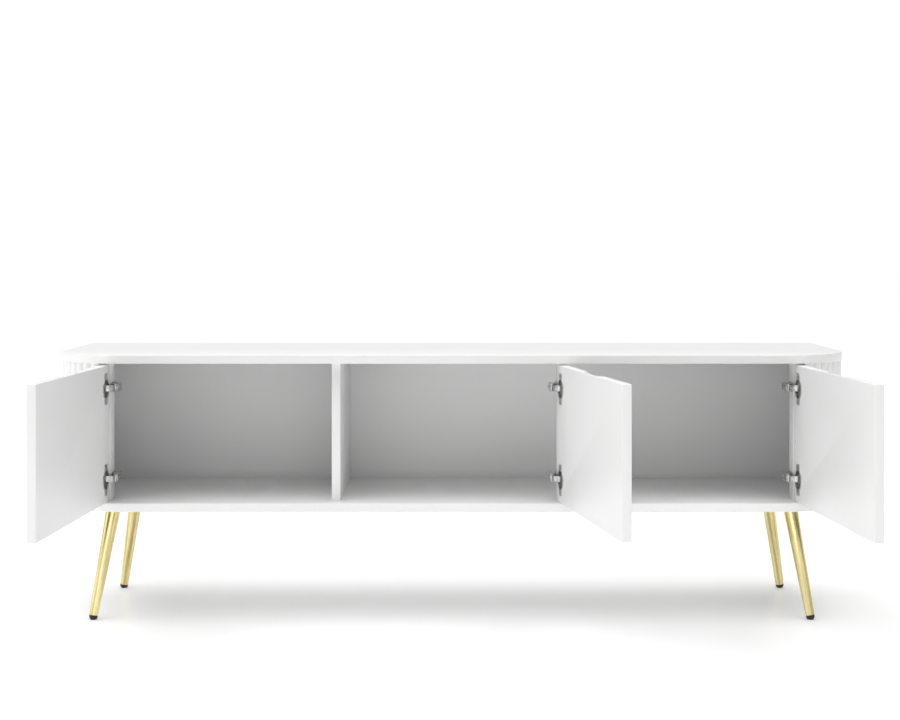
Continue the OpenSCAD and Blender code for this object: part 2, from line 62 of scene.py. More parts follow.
CORNER_R = 140 * MM              # rounded front corners of the boards
BOARD_EDGE = 1.3 * MM            # softened edges of the boards
PANEL_EDGE = 0.7 * MM            # of the uprights
BACK_EDGE = 0.3 * MM             # of the back panel
DOOR_EDGE = 0.9 * MM
BOARD_LIP = 1.2 * MM             # the boards stand out past the ribs
RIB_DEPTH = 4 * MM
SKIN_T = 12.2 * MM               # ribbed skin, from the inner face to a groove
SKIN_START = 46 * MM             # from the corner's centre to the skin's front end
CORNER_RIBS = 9                  # round the corner
SIDE_RIBS = 13                   # along the straight side
RIB_STEPS = 14                   # points across one rib
RIB_FULLNESS = 0.7               # under 1, a rib is rounder and its grooves are sharper
INNER_STEPS = 40                 # points round the skin's inner face
CASE_HEAD_R = 3.5 * MM           # screws up through the bottom board
CASE_HEAD_H = 3 * MM
CASE_SHANK_R = 2.5 * MM
CASE_SCREW_LEN = 46 * MM
CASE_SOCKET_R = 2 * MM
CASE_HOLE_R = 3.9 * MM           # the sunk hole round a screw head
CASE_HOLE_DEEP = 3.5 * MM

DOOR_W = {"left": 432 * MM, "middle": 430 * MM, "right": 432 * MM}
DOOR_T = 16 * MM
POLE_TO_EDGE = 3.5 * MM          # from the line a door turns about to its hinge edge
POLE_TO_FRONT = 4 * MM
POLE_TO_INNER = DOOR_T - POLE_TO_FRONT
SCOOP_LEN = 100 * MM             # finger scoop in a door's top edge
SCOOP_DEEP = 12 * MM
SCOOP_DROP = 20 * MM
SCOOP_COVE = 9 * MM
SCOOP_PAST = 10 * MM             # how far the cutter runs out of the door

CUP_X = -17 * MM                 # middle of the hinge cup, from the pole
CUP_R = 17.5 * MM
CUP_WALL = 1 * MM
CUP_DEEP = 11.5 * MM
FLANGE_R = 19.5 * MM
FLANGE_T = 1.2 * MM
FLANGE_HALF = 29 * MM            # from the middle of the flange to the end of an ear
EAR_R = 5 * MM
EAR_HALF = 9 * MM
EAR_Z = 24 * MM                  # from the middle of a hinge to a cup screw
FLANGE_EDGE = 0.35 * MM
POST_X = -12.5 * MM              # face of the post, from the pole
PLATE_T = 2.5 * MM
PLATE_Y = 34.5 * MM              # middle of a mounting plate, from the pole
PLATE_LEN = 37 * MM
PLATE_HALF = 9 * MM
PLATE_CORNER = 3.5 * MM
PLATE_SCREW_OFF = 15 * MM
PLATE_EDGE = 0.6 * MM
SADDLE_H = 8 * MM
SADDLE_LEN = 21 * MM
SADDLE_HALF = 5.7 * MM
ARM_OUT = 15 * MM                # from the post to the arm's web
ARM_HALF = 7 * MM
ARM_T = 1.2 * MM
ARM_REAR = 50 * MM               # rear end, neck, front of the web and tip, from the pole
ARM_NECK = 20 * MM
ARM_FRONT = 12 * MM
ARM_TIP = 5.2 * MM
ARM_CHEEK = 12 * MM              # how far the cheeks reach from the web towards the post
ARM_TAPER = 6 * MM
ARM_TIP_LIFT = 0.6 * MM
ARM_EDGE = 0.45 * MM
ARM_NOSE = 9 * MM                # width of the plate that closes the front of an arm
NOSE_GAP = 0.3 * MM
ARM_SCREW_YS = (28 * MM, 41 * MM)

# Screws: head radius, head height, shank radius, shank length.
CUP_SCREW = (3.4 * MM, 0.8 * MM, 1.7 * MM, 9 * MM)
PLATE_SCREW = (3.4 * MM, 2 * MM, 1.7 * MM, 12 * MM)
ARM_SCREW = (3.2 * MM, 1.4 * MM, 1.9 * MM, 6 * MM)
LEG_SCREW = (4 * MM, 2.2 * MM, 2.2 * MM, 12 * MM)

LEG_CAP = 8 * MM                 # length of a foot cap along its leg
LEG_R_FOOT = 8 * MM
LEG_R_TOP = 13.75 * MM
LEG_LEAN_X = 34 * MM             # how far the top stands in from the foot
LEG_LEAN_Y = 30 * MM
FOOT_IN_X = 75 * MM              # from the boards' edges to the middle of a foot
FOOT_IN_Y = 53 * MM
LEG_WALL = 1.2 * MM
LEG_SPARE = 12 * MM              # extra tube at the top, trimmed level with the leg plate
CAP_R = 8.1 * MM
CAP_DOME_UP = 6 * MM             # height of the dome's centre over the floor end
CAP_BORE_R = 6.4 * MM
CAP_PLUG_TOP = 12 * MM
LEG_SCREW_OFF = 22 * MM
LEG_SCREW_HOLE_R = 2.4 * MM
LEG_PLATE_HALF = 30 * MM
LEG_PLATE_T = 3 * MM
LEG_PLATE_CORNER = 6 * MM
LEG_PLATE_EDGE = 0.4 * MM

# ---------------------------------------------------------------- light

FILL = 0.24                      # dim light from all round
BACKDROP = 1.05                  # the white that the camera sees behind the cabinet
SOFT_BOX = 1.08                  # a white board that faces it has this brightness
SOFT_BOX_SPREAD = 80             # degrees across
SOFT_BOX_FROM = (-0.12, -0.01, 0.97)
FLOOR_GLOW = 0.15
LOW_STRIP = 7                    # watts
SIDE_BOX = 12                    # watts
CAMERA_BACK = 3.009              # from the front of the boards
CAMERA_UP = 0.1988               # over the top board

# ---------------------------------------------------------------- finishes


class Wire:
    """A socket of a finish. Sums and products of it add Math nodes."""

    def __init__(self, finish, socket):
        self.finish, self.socket = finish, socket

    def _join(self, operation, first, second):
        return self.finish.node("ShaderNodeMath", {"operation": operation}, {0: first, 1: second})

    def __add__(self, other):
        return self._join("ADD", self, other)

    def __radd__(self, other):
        return self._join("ADD", other, self)

    def __mul__(self, other):
        return self._join("MULTIPLY", self, other)

    def __rmul__(self, other):
        return self._join("MULTIPLY", other, self)


class Finish:
    """A material with one Principled shader, and short ways to add nodes to it."""

    def __init__(self, name, color, roughness, metallic=0.0, **plain):
        self.material = bpy.data.materials.new(name)
        self.material.use_nodes = True
        self.tree = self.material.node_tree
        self.shader = self.tree.nodes["Principled BSDF"]
        self.put("Base Color", (*color, 1))
        self.put("Roughness", roughness)
        self.put("Metallic", metallic)
        for socket, value in plain.items():
            self.put(socket.replace("_", " "), value)
        self.place = self.node("ShaderNodeTexCoord", out="Object")

    def _feed(self, socket, value):
        if isinstance(value, Wire):
            self.tree.links.new(value.socket, socket)
        else:
            socket.default_value = value

    def put(self, socket, value):
        self._feed(self.shader.inputs[socket], value)

    def node(self, kind, settings=None, sockets=None, out=0):
        made = self.tree.nodes.new(kind)
        for key, value in (settings or {}).items():
            if key == "stops":
                self._set_stops(made.color_ramp, value)
            else:
                setattr(made, key, value)
        for key, value in (sockets or {}).items():
            self._feed(made.inputs[key], value)
        return Wire(self, made.outputs[out])

    @staticmethod
    def _set_stops(ramp, stops):
        while len(ramp.elements) < len(stops):
            ramp.elements.new(1)
        for element, (at, grey) in zip(ramp.elements, stops):
            element.position = at
            element.color = (grey, grey, grey, 1)

    def stretched(self, scale, turn=(0, 0, 0)):
        """Object coordinates scaled along each axis, after a turn."""
        turned = self.node("ShaderNodeMapping", {}, {"Vector": self.place, "Rotation": turn})
        return self.node("ShaderNodeMapping", {}, {"Vector": turned, "Scale": scale})

    def noise(self, scale, detail=3, rough=0.55, vector=None):
        return self.node("ShaderNodeTexNoise", {}, {
            "Vector": vector or self.place, "Scale": scale, "Detail": detail, "Roughness": rough})

    def ramp(self, value, *stops):
        return self.node("ShaderNodeValToRGB", {"stops": stops}, {"Fac": value})

    def mix(self, factor, first, second):
        colours = [c if isinstance(c, Wire) else (*c, 1) for c in (first, second)]
        return self.node("ShaderNodeMix", {"data_type": "RGBA"},
                         {0: factor, 6: colours[0], 7: colours[1]}, out=2)

    def bump(self, height, distance, strength=1.0):
        relief = self.node("ShaderNodeBump", {}, {
            "Height": height, "Distance": distance, "Strength": strength})
        self.put("Normal", relief)


def lacquer(name, tone, roughness, peel=1.0):
    """Sprayed white lacquer: a fine orange peel, cloudy sheen and a trace of warm mottling."""
    finish = Finish(name, (tone, tone, tone), roughness, Specular_IOR_Level=0.36)
    clouds = finish.noise(5.5, 4)
    shade = tone * 0.982
    finish.put("Base Color", finish.mix(finish.ramp(clouds, (0.35, 0), (0.65, 1)),
                                        (tone, tone, tone), (shade, shade, shade * 0.993)))
    smears = finish.noise(22, 5, 0.6)
    finish.put("Roughness", roughness - 0.05 + smears * 0.1)
    fine = finish.noise(420, 2)
    coarse = finish.noise(95, 2)
    finish.bump(fine * 0.35 + coarse * 0.65, 0.00005 * peel, 0.6)
    return finish.material


def back_board(name):
    """White-faced hardboard: flatter sheen and the faint print of a fine screen."""
    finish = Finish(name, (0.82, 0.82, 0.82), 0.5)
    clouds = finish.noise(4, 3)
    finish.put("Base Color", finish.mix(clouds, (0.9, 0.9, 0.9), (0.875, 0.875, 0.872)))
    grain = finish.noise(900, 2)
    finish.put("Roughness", 0.44 + finish.noise(30, 4) * 0.12)
    finish.bump(grain, 0.00004, 0.5)
    return finish.material


def gold_tube(name, lean):
    """Brushed pale gold: fine scratches that run down the leaning leg, painted reflection bands,
    light and dark, along it, and handling haze.
    """
    finish = Finish(name, (0.8, 0.7, 0.36), 0.26, 1.0, Anisotropic=0.5)
    hairs = finish.noise(1, 6, 0.7, finish.stretched((2600, 2600, 14), lean))
    # wide bands round the leg that run along it: painted reflection streaks, light and dark
    painted_reflection_bands = finish.noise(1, 2, 0.4, finish.stretched((170, 170, 1.5), lean))
    haze = finish.noise(38, 4, 0.6)
    # the colour mixes the real fine scratches with the painted reflection bands
    scratches_and_painted_reflections = finish.ramp(hairs * 0.35 + painted_reflection_bands * 0.65, (0.37, 0), (0.6, 1))
    finish.put("Base Color", finish.mix(scratches_and_painted_reflections, (0.44, 0.355, 0.135), (0.9, 0.79, 0.43)))
    finish.put("Roughness", 0.15 + scratches_and_painted_reflections * 0.11 + haze * 0.1)
    finish.bump(hairs, 0.00004, 0.5)
    return finish.material


def nickel(name):
    """Nickel plate on pressed steel: bright, with drawn lines, haze and darker stains."""
    finish = Finish(name, (0.62, 0.61, 0.59), 0.25, 1.0)
    lines = finish.noise(1, 4, 0.6, finish.stretched((90, 1800, 1800)))
    stains = finish.noise(130, 4, 0.6)
    cloud = finish.ramp(stains, (0.4, 0), (0.72, 1))
    finish.put("Base Color", finish.mix(cloud, (0.58, 0.575, 0.56), (0.36, 0.355, 0.34)))
    finish.put("Roughness", 0.16 + lines * 0.12 + stains * 0.14)
    finish.bump(lines, 0.00003, 0.4)
    return finish.material


def zinc(name):
    """Zinc plate: dull, with small crystals and a blue-grey cast."""
    finish = Finish(name, (0.58, 0.59, 0.61), 0.38, 1.0)
    crystals = finish.node("ShaderNodeTexVoronoi", {}, {"Vector": finish.place, "Scale": 260},
                           out="Color")
    shade = finish.node("ShaderNodeRGBToBW", {}, {"Color": crystals})
    finish.put("Base Color", finish.mix(shade, (0.5, 0.51, 0.54), (0.68, 0.69, 0.7)))
    finish.put("Roughness", 0.28 + shade * 0.2)
    finish.bump(finish.noise(500, 3), 0.00003, 0.4)
    return finish.material


def black_plastic(name):
    """Moulded black plastic with a fine spark texture and scuffs near the floor."""
    finish = Finish(name, (0.012, 0.012, 0.013), 0.42)
    spark = finish.noise(1600, 2)
    scuff = finish.ramp(finish.noise(240, 5, 0.7), (0.55, 0), (0.75, 1))
    finish.put("Base Color", finish.mix(scuff, (0.010, 0.010, 0.011), (0.045, 0.044, 0.043)))
    finish.put("Roughness", 0.36 + scuff * 0.2)
    finish.bump(spark, 0.00006, 0.6)
    return finish.material


def beech(name):
    """Bare beech: long pale grain with short dark flecks."""
    finish = Finish(name, (0.66, 0.47, 0.29), 0.6)
    grain = finish.noise(1, 5, 0.6, finish.stretched((500, 500, 18)))
    flecks = finish.ramp(finish.noise(1, 2, 0.5, finish.stretched((1500, 1500, 160))),
                         (0.62, 0), (0.7, 1))
    wood = finish.mix(grain, (0.72, 0.53, 0.34), (0.58, 0.39, 0.23))
    finish.put("Base Color", finish.mix(flecks * 0.6, wood, (0.36, 0.22, 0.12)))
    finish.bump(grain, 0.0001, 0.5)
    return finish.material


WHITE = lacquer("white_lacquer_finish", 0.88, 0.36)
WHITE_RIBS = lacquer("ribbed_lacquer_finish", 0.88, 0.4, 1.5)
BACK = back_board("back_board_finish")
NICKEL = nickel("nickel_finish")
ZINC = zinc("zinc_finish")
BLACK = black_plastic("black_cap_finish")
BEECH = beech("beech_finish")

# ---------------------------------------------------------------- ways of making pieces


def alone(piece):
    """Leaves only this piece selected and active."""
    bpy.ops.object.select_all(action="DESELECT")
    piece.select_set(True)
    bpy.context.view_layer.objects.active = piece
    return piece


def new_piece():
    """The piece that a primitive operator has just added, with its place in its mesh."""
    piece = bpy.context.active_object
    bpy.ops.object.transform_apply(location=True, rotation=True, scale=True)
    return piece


def block(lo, hi):
    bpy.ops.object.select_all(action="DESELECT")
    lo, hi = Vector(lo), Vector(hi)
    bpy.ops.mesh.primitive_cube_add(size=1, location=(lo + hi) / 2, scale=hi - lo)
    return new_piece()


def rod(centre, radius, length, axis="Z", sides=48):
    """A closed cylinder about a point, along X, Y or Z."""
    bpy.ops.object.select_all(action="DESELECT")
    turn = {"X": (0, math.pi / 2, 0), "Y": (math.pi / 2, 0, 0), "Z": (0, 0, 0)}[axis]
    bpy.ops.mesh.primitive_cylinder_add(vertices=sides, radius=radius, depth=length,
                                        location=centre, rotation=turn)
    return new_piece()


def edit(piece):
    alone(piece)
    bpy.ops.object.mode_set(mode="EDIT")


def done(piece):
    bpy.ops.object.mode_set(mode="OBJECT")
    return piece


def runs_along(edge, axis):
    """True for an edge whose two ends differ along X or Z."""
    first, second = edge.verts
    return abs(first.co[axis] - second.co[axis]) > 0.5 * MM


def choose(piece, kind, test):
    """Selects the vertices, edges or faces that pass a test, and nothing else."""
    bpy.ops.mesh.select_all(action="DESELECT")
    bpy.ops.mesh.select_mode(type={"verts": "VERT", "edges": "EDGE", "faces": "FACE"}[kind])
    mesh = bmesh.from_edit_mesh(piece.data)
    for part in getattr(mesh, kind):
        if test(part):
            part.select_set(True)
    mesh.select_flush_mode()
    bmesh.update_edit_mesh(piece.data)


def soften(piece, width, segments=3, angle=40):
    """Rounds every sharp edge of a finished piece."""
    alone(piece)
    bevel = piece.modifiers.new("soft_edges", "BEVEL")
    bevel.width, bevel.segments = width, segments
    bevel.limit_method, bevel.angle_limit = "ANGLE", math.radians(angle)
    bpy.ops.object.modifier_apply(modifier=bevel.name)
    return piece


def cut(piece, cutter, operation="DIFFERENCE"):
    """Takes one piece out of another, or joins it on, and removes the cutter."""
    alone(piece)
    carve = piece.modifiers.new("carve", "BOOLEAN")
    carve.object, carve.operation, carve.solver = cutter, operation, "EXACT"
    bpy.ops.object.modifier_apply(modifier=carve.name)
    bpy.data.objects.remove(cutter)
    return piece


def join(pieces):
    bpy.ops.object.select_all(action="DESELECT")
    for piece in pieces:
        piece.select_set(True)
    bpy.context.view_layer.objects.active = pieces[0]
    if len(pieces) > 1:
        bpy.ops.object.join()
    return bpy.context.active_object


def lathe(profile, sides=48):
    """Turns a profile of (radius, height) points about Z, by extruding one ring after another."""
    bpy.ops.object.select_all(action="DESELECT")
    radius, height = profile[0]
    bpy.ops.mesh.primitive_circle_add(vertices=sides, radius=radius, fill_type="NGON",
                                      location=(0, 0, height))
    piece = new_piece()
    edit(piece)
    bpy.ops.mesh.select_mode(type="FACE")
    bpy.ops.mesh.select_all(action="SELECT")
    for new_radius, new_height in profile[1:]:
        bpy.ops.mesh.extrude_region_move(
            TRANSFORM_OT_translate={"value": (0, 0, new_height - height)})
        size = new_radius / radius
        bpy.ops.transform.resize(value=(size, size, 1), center_override=(0, 0, new_height))
        radius, height = new_radius, new_height
    bpy.ops.mesh.select_all(action="SELECT")
    bpy.ops.mesh.normals_make_consistent(inside=False)
    return done(piece)


def moved(piece, matrix):
    """Moves a piece's own mesh, and keeps its faces outwards if the move mirrors it."""
    piece.data.transform(matrix)
    if matrix.determinant() < 0:
        edit(piece)
        bpy.ops.mesh.select_all(action="SELECT")
        bpy.ops.mesh.flip_normals()
        done(piece)
    return piece


def copy_of(piece, matrix):
    twin = piece.copy()
    twin.data = piece.data.copy()
    bpy.context.scene.collection.objects.link(twin)
    return moved(twin, matrix)


def spread(piece, matrices):
    """One piece made of a copy at each place; the pattern itself is removed."""
    whole = join([copy_of(piece, matrix) for matrix in matrices])
    bpy.data.objects.remove(piece)
    return whole


def fit_out(piece, name, body, slot, finish, *nodes):
    """Names a finished piece, gives it its finish, and sets it on its body."""
    alone(piece)
    bpy.ops.object.shade_smooth_by_angle(angle=math.radians(35))
    piece.name = name
    piece.data.materials.clear()
    piece.data.materials.append(finish)
    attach(piece, body)
    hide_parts(*nodes)
    return piece


# ---------------------------------------------------------------- boards and uprights


def board(node, screws):
    """A board with two round front corners, softened edges, and sunk holes for case screws."""
    piece = block(*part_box(node))
    edit(piece)
    choose(piece, "edges", lambda e: runs_along(e, ALONG_Z) and e.verts[0].co.y < FRONT_Y + 1 * MM)
    bpy.ops.mesh.bevel(offset=CORNER_R, offset_type="OFFSET", segments=40, profile=0.5,
                       affect="EDGES")
    done(piece)
    soften(piece, BOARD_EDGE, 4, 60)
    for spot in screws:
        cut(piece, rod((spot.x, spot.y, low_lo.z), CASE_HOLE_R, 2 * CASE_HOLE_DEEP))
    fit_out(piece, node + "_shell", "cabinet", "white_lacquer", WHITE, node)


def upright(node, finish, slot, edge):
    """A plain panel with its arrises taken off."""
    piece = block(*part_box(node))
    soften(piece, edge, 3)
    fit_out(piece, node + "_shell", "cabinet", slot, finish, node)


def rib_height(step, steps):
    """Height of a rib over its grooves, a part of the way across it."""
    return RIB_DEPTH * abs(math.sin(math.pi * step / steps)) ** RIB_FULLNESS


def skin_outline(steps):
    """Plan of a ribbed skin about the corner's centre, in the order that its edge runs."""
    inner_r = CORNER_R - BOARD_LIP - RIB_DEPTH - SKIN_T
    groove_r = inner_r + SKIN_T
    first = math.asin(SKIN_START / groove_r)
    first_in = math.asin(SKIN_START / inner_r)
    side_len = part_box("ribbed_skin_right")[1].y - FRONT_Y - CORNER_R
    points = []
    for i in range(CORNER_RIBS * steps + 1):
        angle = first + (math.pi / 2 - first) * i / (CORNER_RIBS * steps)
        radius = groove_r + rib_height(i, steps)
        points.append((radius * math.sin(angle), -radius * math.cos(angle)))
    for i in range(1, SIDE_RIBS * steps + 1):
        points.append((groove_r + rib_height(i, steps), side_len * i / (SIDE_RIBS * steps)))
    points.append((inner_r, side_len))
    for i in range(INNER_STEPS + 1):
        angle = math.pi / 2 + (first_in - math.pi / 2) * i / INNER_STEPS
        points.append((inner_r * math.sin(angle), -inner_r * math.cos(angle)))
    return points


def ribbed_skin(side, mirror):
    """The ribbed end: its plan is set on a flat ring, which is extruded up between the boards."""
    node = "ribbed_skin_" + side
    lo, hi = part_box(node)
    outline = skin_outline(RIB_STEPS)
    bpy.ops.object.select_all(action="DESELECT")
    bpy.ops.mesh.primitive_circle_add(vertices=len(outline), radius=1, fill_type="NGON")
    piece = new_piece()
    for vertex, (x, y) in zip(piece.data.vertices, outline):
        vertex.co = (HALF_W - CORNER_R + x, FRONT_Y + CORNER_R + y, lo.z)
    edit(piece)
    bpy.ops.mesh.select_all(action="SELECT")
    bpy.ops.mesh.extrude_region_move(TRANSFORM_OT_translate={"value": (0, 0, hi.z - lo.z)})
    bpy.ops.mesh.select_all(action="SELECT")
    bpy.ops.mesh.normals_make_consistent(inside=False)
    done(piece)
    moved(piece, Matrix.Scale(mirror, 4, (1, 0, 0)))
    fit_out(piece, node + "_shell", "cabinet", "white_lacquer", WHITE_RIBS, node)


def case_screw_spots():
    """Middles of the case screws under the bottom board, read from their own solids."""
    heads = [v.co for v in frame["nodes"]["case_screws"].data.vertices
             if v.co.z < low_lo.z + 0.1 * MM]
    spots = []
    for head in heads:
        near = [s for s in spots if (s[0] - head).length < 12 * MM]
        if near:
            near[0].append(head)
        else:
            spots.append([head])
    centres = []
    for group in spots:
        xs, ys = [p.x for p in group], [p.y for p in group]
        centres.append(Vector(((min(xs) + max(xs)) / 2, (min(ys) + max(ys)) / 2, low_lo.z)))
    return centres


board("top_panel", [])
board("bottom_panel", case_screw_spots())
upright("back_panel", BACK, "back_board", BACK_EDGE)
for post in ("divider", "corner_post_left", "corner_post_right", "middle_post",
             "side_panel_left", "side_panel_right"):
    upright(post, WHITE, "white_lacquer", PANEL_EDGE)
ribbed_skin("left", -1)
ribbed_skin("right", 1)

# ---------------------------------------------------------------- screws


def cross_screw(head_r, head_h, shank_r, shank_len):
    """A screw whose shank runs down from z = 0, under a domed head with a cross recess."""
    head = lathe([(shank_r, -shank_len), (shank_r, -0.1 * MM), (head_r * 0.96, 0),
                  (head_r, 0.18 * head_h), (head_r * 0.97, 0.45 * head_h),
                  (head_r * 0.8, 0.8 * head_h), (head_r * 0.45, 0.97 * head_h),
                  (head_r * 0.1, head_h)], 32)
    for turn in (0, 90):
        slot = block((-head_r * 0.58, -head_r * 0.12, head_h * 0.25),
                     (head_r * 0.58, head_r * 0.12, head_h * 1.5))
        edit(slot)
        choose(slot, "faces", lambda f: f.normal.z < -0.5)
        bpy.ops.transform.resize(value=(0.55, 0.7, 1), center_override=(0, 0, head_h * 0.25))
        done(slot)
        moved(slot, Matrix.Rotation(math.radians(turn), 4, "Z"))
        cut(head, slot)
    return head


def case_screws():
    """Flush socket heads under the bottom board, with a six-sided recess."""
    screw = lathe([(CASE_SHANK_R, CASE_SCREW_LEN), (CASE_SHANK_R, CASE_HEAD_H),
                   (CASE_HEAD_R, CASE_HEAD_H), (CASE_HEAD_R, 0.3 * MM),
                   (CASE_HEAD_R - 0.3 * MM, 0.05 * MM)], 32)
    cut(screw, rod((0, 0, 0), CASE_SOCKET_R, 5 * MM, sides=6))
    whole = spread(screw, [Matrix.Translation(s) for s in case_screw_spots()])
    fit_out(whole, "case_screw_set", "cabinet", "zinc_fitting", ZINC, "case_screws")


case_screws()

# ---------------------------------------------------------------- legs


def leg_matrix(side, face):
    """From a leg drawn up +Z with its foot at the origin to its place under the cabinet."""
    foot = Vector((side * (HALF_W - FOOT_IN_X),
                   FRONT_Y + FOOT_IN_Y if face > 0 else REAR_Y - FOOT_IN_Y, 0))
    lean = Vector((-side * LEG_LEAN_X, face * LEG_LEAN_Y, low_lo.z))
    turn = Vector((0, 0, 1)).rotation_difference(lean).to_matrix().to_4x4()
    return Matrix.Translation(foot) @ turn, lean


def trim(piece, height, keep_below):
    """Cuts a piece level at a height and closes the cut."""
    edit(piece)
    bpy.ops.mesh.select_all(action="SELECT")
    bpy.ops.mesh.bisect(plane_co=(0, 0, height), plane_no=(0, 0, 1), use_fill=True,
                        clear_outer=keep_below, clear_inner=not keep_below)
    return done(piece)


def leg(name, side, face):
    """A tapered tube with a rolled foot, and the domed cap under it."""
    place, lean = leg_matrix(side, face)
    length = lean.length
    slope = (LEG_R_TOP - LEG_R_FOOT) / length

    def radius(t):
        return LEG_R_FOOT + slope * t

    start = LEG_CAP
    end = length + LEG_SPARE
    tube = lathe([(radius(start) - LEG_WALL, start), (radius(start) - 0.35 * MM, start),
                  (radius(start) - 0.1 * MM, start + 0.12 * MM),
                  (radius(start), start + 0.4 * MM), (radius(end), end)], 96)
    moved(tube, place)
    trim(tube, low_lo.z - LEG_PLATE_T, True)
    finish = gold_tube("gold_" + name, place.inverted().to_euler())
    fit_out(tube, name + "_tube", "cabinet", "gold_leg", finish, name)

    dome = [(CAP_R * math.cos(a), CAP_DOME_UP - CAP_R * math.sin(a))
            for a in [math.radians(88 - 8 * i) for i in range(12)]]
    cap = lathe(dome + [(CAP_R, LEG_CAP - 0.8 * MM), (CAP_R - 0.15 * MM, LEG_CAP - 0.25 * MM),
                        (CAP_R - 0.6 * MM, LEG_CAP), (CAP_BORE_R, LEG_CAP),
                        (CAP_BORE_R, CAP_PLUG_TOP)], 64)
    moved(cap, place)
    trim(cap, 0, False)
    cap_name = name.replace("leg_", "foot_cap_")
    fit_out(cap, cap_name + "_shell", "cabinet", "black_cap", BLACK, cap_name)


LEGS = {"leg_front_left": (-1, 1), "leg_front_right": (1, 1),
        "leg_rear_left": (-1, -1), "leg_rear_right": (1, -1)}
for leg_name, (leg_side, leg_face) in LEGS.items():
    leg(leg_name, leg_side, leg_face)


def leg_tops():
    """Where the middle line of each leg meets the bottom board."""
    spots = []
    for side, face in LEGS.values():
        place, lean = leg_matrix(side, face)
        spots.append(place.translation + lean)
    return spots


def leg_plates():
    """Steel plates with round corners and four screw holes, and the screws in them."""
    z = low_lo.z - LEG_PLATE_T
    plate = block((-LEG_PLATE_HALF, -LEG_PLATE_HALF, 0),
                  (LEG_PLATE_HALF, LEG_PLATE_HALF, LEG_PLATE_T))
    edit(plate)
    choose(plate, "edges", lambda e: runs_along(e, ALONG_Z))
    bpy.ops.mesh.bevel(offset=LEG_PLATE_CORNER, segments=8, affect="EDGES")
    done(plate)
    soften(plate, LEG_PLATE_EDGE, 3, 60)
    for dx in (-1, 1):
        for dy in (-1, 1):
            cut(plate, rod((dx * LEG_SCREW_OFF, dy * LEG_SCREW_OFF, 0), LEG_SCREW_HOLE_R,
                           4 * LEG_PLATE_T))
    whole = spread(plate, [Matrix.Translation((p.x, p.y, z)) for p in leg_tops()])
    fit_out(whole, "leg_plate_set", "cabinet", "zinc_fitting", ZINC, "leg_plates")

    screw = cross_screw(*LEG_SCREW)
    down = Matrix.Rotation(math.pi, 4, "X")
    spots = [Matrix.Translation((p.x + dx * LEG_SCREW_OFF, p.y + dy * LEG_SCREW_OFF, z))
             @ Matrix.Rotation(0.7 * (dx + 2 * dy), 4, "Z") @ down
             for p in leg_tops() for dx in (-1, 1) for dy in (-1, 1)]
    whole = spread(screw, spots)
    fit_out(whole, "leg_screw_set", "cabinet", "zinc_fitting", ZINC, "leg_screws")


leg_plates()

# ---------------------------------------------------------------- doors and hinges

# A hinge is drawn with its door closed: the pole is at x = y = 0, the door lies towards -X with
# its inner face towards +Y, and z = 0 is the middle of the hinge.


def swing(side):
    return JOINTS["door_" + side + "_swing"]


def pole_matrix(side, height):
    """From a hinge's own coordinates to the cabinet, for what stays on the cabinet."""
    joint = swing(side)
    pole = Vector(joint["pos_m"])
    mirror = Matrix.Scale(joint["axis"][2], 4, (1, 0, 0))     # the left door is hung the other way
    return Matrix.Translation((pole.x, pole.y, height)) @ mirror


def door_matrix(side, height):
    """The same for what swings with the door, which stands open at rest."""
    closed_deg = swing(side)["range_deg"][0]
    opened = Matrix.Rotation(math.radians(-closed_deg), 4, "Z")
    return pole_matrix(side, height) @ opened


def hinge_heights():
    """Heights of a door's lower and upper hinge."""
    lo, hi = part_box("hinge_cups_right")
    return (lo.z + FLANGE_HALF, hi.z - FLANGE_HALF)


def scoop_cutter(width, top):
    """The shape of a finger scoop: a trough with round ends, a coved back and a soft bottom."""
    x = POLE_TO_EDGE - width / 2
    back = SCOOP_DEEP - POLE_TO_FRONT
    bottom = top - SCOOP_DROP
    cutter = block((x - SCOOP_LEN / 2, -POLE_TO_FRONT - SCOOP_PAST, bottom),
                   (x + SCOOP_LEN / 2, back, top + SCOOP_PAST))
    edit(cutter)
    choose(cutter, "edges", lambda e: min(v.co.y for v in e.verts) > back - 1 * MM
           and min(v.co.z for v in e.verts) < bottom + 1 * MM)
    bpy.ops.mesh.bevel(offset=SCOOP_COVE, segments=10, affect="EDGES")
    return done(cutter)


def door(side):
    """A door's board, with its finger scoop and the bores for its two hinge cups."""
    lo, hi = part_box("door_" + side)
    width = DOOR_W[side]
    panel = block((POLE_TO_EDGE - width, -POLE_TO_FRONT, lo.z),
                  (POLE_TO_EDGE, POLE_TO_INNER, hi.z))
    soften(panel, DOOR_EDGE, 3)
    cut(panel, scoop_cutter(width, hi.z))
    for z in hinge_heights():
        cut(panel, rod((CUP_X, POLE_TO_INNER, z), CUP_R + 0.05 * MM, 2 * CUP_DEEP + 0.4 * MM,
                       "Y", 64))
    moved(panel, door_matrix(side, 0))
    node = "door_" + side
    fit_out(panel, node + "_leaf", node, "white_lacquer", WHITE, node)


FACING_Y = Matrix.Rotation(-math.pi / 2, 4, "X")      # a piece drawn up +Z turns to face +Y


